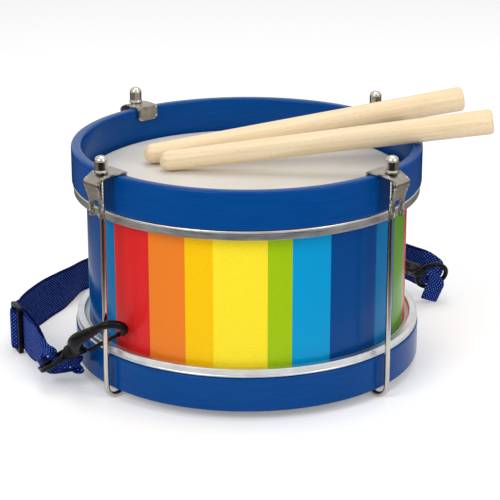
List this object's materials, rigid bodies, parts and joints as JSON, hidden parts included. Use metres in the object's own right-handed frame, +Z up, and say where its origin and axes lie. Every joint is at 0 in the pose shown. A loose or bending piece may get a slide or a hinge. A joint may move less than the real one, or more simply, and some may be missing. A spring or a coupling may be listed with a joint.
{
  "type": "drum",
  "caption": "Small two-headed drum with striped shell, lacquered hoops, claw-and-rod tensioning, neck strap on snap hooks and a pair of sticks.",
  "frame": {"origin": "Middle of the resonant (lower) head's outer face, where the flat film lies over the shell's lower edge", "axes": "+Z up along the drum's axis towards the batter head, -Y towards the front with the sticks' tips to the left, +X to the right"},
  "size_m": [0.2793, 0.2578, 0.1504],
  "materials": {
    "shell_birch": "bare birch plywood",
    "striped_print": "glossy printed film in vertical stripes",
    "head_film": "satin off-white polyester film",
    "rolled_aluminium": "rolled, slightly satin",
    "blue_lacquer": "glossy lacquer on bent wood",
    "nickel_wire": "bright nickel plating on drawn wire",
    "nickel_sheet": "bright nickel plating on pressed sheet",
    "beech": "sanded, unvarnished",
    "black_nylon": "moulded, slightly glossy",
    "blue_webbing": "woven polypropylene webbing"
  },
  "bodies": {
    "drum": {"shell": "shell_birch", "striped_wrap": "striped_print", "batter_head": "head_film", "resonant_head": "head_film", "top_head_ring": "rolled_aluminium", "bottom_head_ring": "rolled_aluminium", "top_hoop": "blue_lacquer", "bottom_hoop": "blue_lacquer", "tension_rod_front_left": "nickel_wire", "tension_rod_front_right": "nickel_wire", "tension_rod_back_right": "nickel_wire", "tension_rod_back_left": "nickel_wire", "claw_front_left": "nickel_sheet", "claw_front_right": "nickel_sheet", "claw_back_right": "nickel_sheet", "claw_back_left": "nickel_sheet"},
    "nut_front_left": {"cap_nut_front_left": "nickel_wire"},
    "nut_front_right": {"cap_nut_front_right": "nickel_wire"},
    "nut_back_right": {"cap_nut_back_right": "nickel_wire"},
    "nut_back_left": {"cap_nut_back_left": "nickel_wire"},
    "back_stick": {"drumstick_back": "beech"},
    "front_stick": {"drumstick_front": "beech"},
    "strap": {"strap_webbing": "blue_webbing", "strap_slider": "black_nylon", "left_hook_body": "black_nylon", "right_hook_body": "black_nylon"},
    "left_gate": {"left_hook_gate": "black_nylon"},
    "right_gate": {"right_hook_gate": "black_nylon"},
    "left_eye": {"left_hook_eye": "black_nylon"},
    "right_eye": {"right_hook_eye": "black_nylon"}
  },
  "joints": [
    {"name": "nut_front_left_turn", "type": "hinge", "parent": "drum", "child": "nut_front_left", "pos_m": [-0.07766, -0.06992, 0.1093], "axis": [0, 0, 1], "continuous": true},
    {"name": "nut_front_right_turn", "type": "hinge", "parent": "drum", "child": "nut_front_right", "pos_m": [0.07766, -0.06992, 0.1093], "axis": [0, 0, 1], "continuous": true},
    {"name": "nut_back_right_turn", "type": "hinge", "parent": "drum", "child": "nut_back_right", "pos_m": [0.07766, 0.06992, 0.1093], "axis": [0, 0, 1], "continuous": true},
    {"name": "nut_back_left_turn", "type": "hinge", "parent": "drum", "child": "nut_back_left", "pos_m": [-0.06787, 0.07946, 0.1093], "axis": [0, 0, 1], "continuous": true},
    {"name": "back_stick_lift", "type": "slide", "parent": "drum", "child": "back_stick", "axis": [0, 0, 1], "range_m": [0, 0.1]},
    {"name": "front_stick_lift", "type": "slide", "parent": "drum", "child": "front_stick", "axis": [0, 0, 1], "range_m": [0, 0.1]},
    {"name": "strap_lift", "type": "slide", "parent": "drum", "child": "strap", "axis": [0, 0, 1], "range_m": [0, 0.03]},
    {"name": "left_gate_hinge", "type": "hinge", "parent": "strap", "child": "left_gate", "pos_m": [-0.08808, -0.0566, 0.0017], "axis": [0.0839, -0.7278, -0.6807], "range_deg": [0, 6], "stiffness_Nm_per_rad": 0.01, "springref_deg": -8.59},
    {"name": "right_gate_hinge", "type": "hinge", "parent": "strap", "child": "right_gate", "pos_m": [0.10221, 0.06985, 0.00364], "axis": [-0.3954, -0.1473, -0.9066], "range_deg": [0, 15], "stiffness_Nm_per_rad": 0.01, "springref_deg": -8.59},
    {"name": "left_eye_swivel", "type": "hinge", "parent": "strap", "child": "left_eye", "pos_m": [-0.09972, -0.05615, -0.00022], "axis": [0.7081, -0.4371, 0.5546], "range_deg": [-6, 6]},
    {"name": "right_eye_swivel", "type": "hinge", "parent": "strap", "child": "right_eye", "pos_m": [0.10719, 0.07985, -0.00016], "axis": [-0.8236, -0.38, 0.421], "range_deg": [-6, 6]}
  ]
}
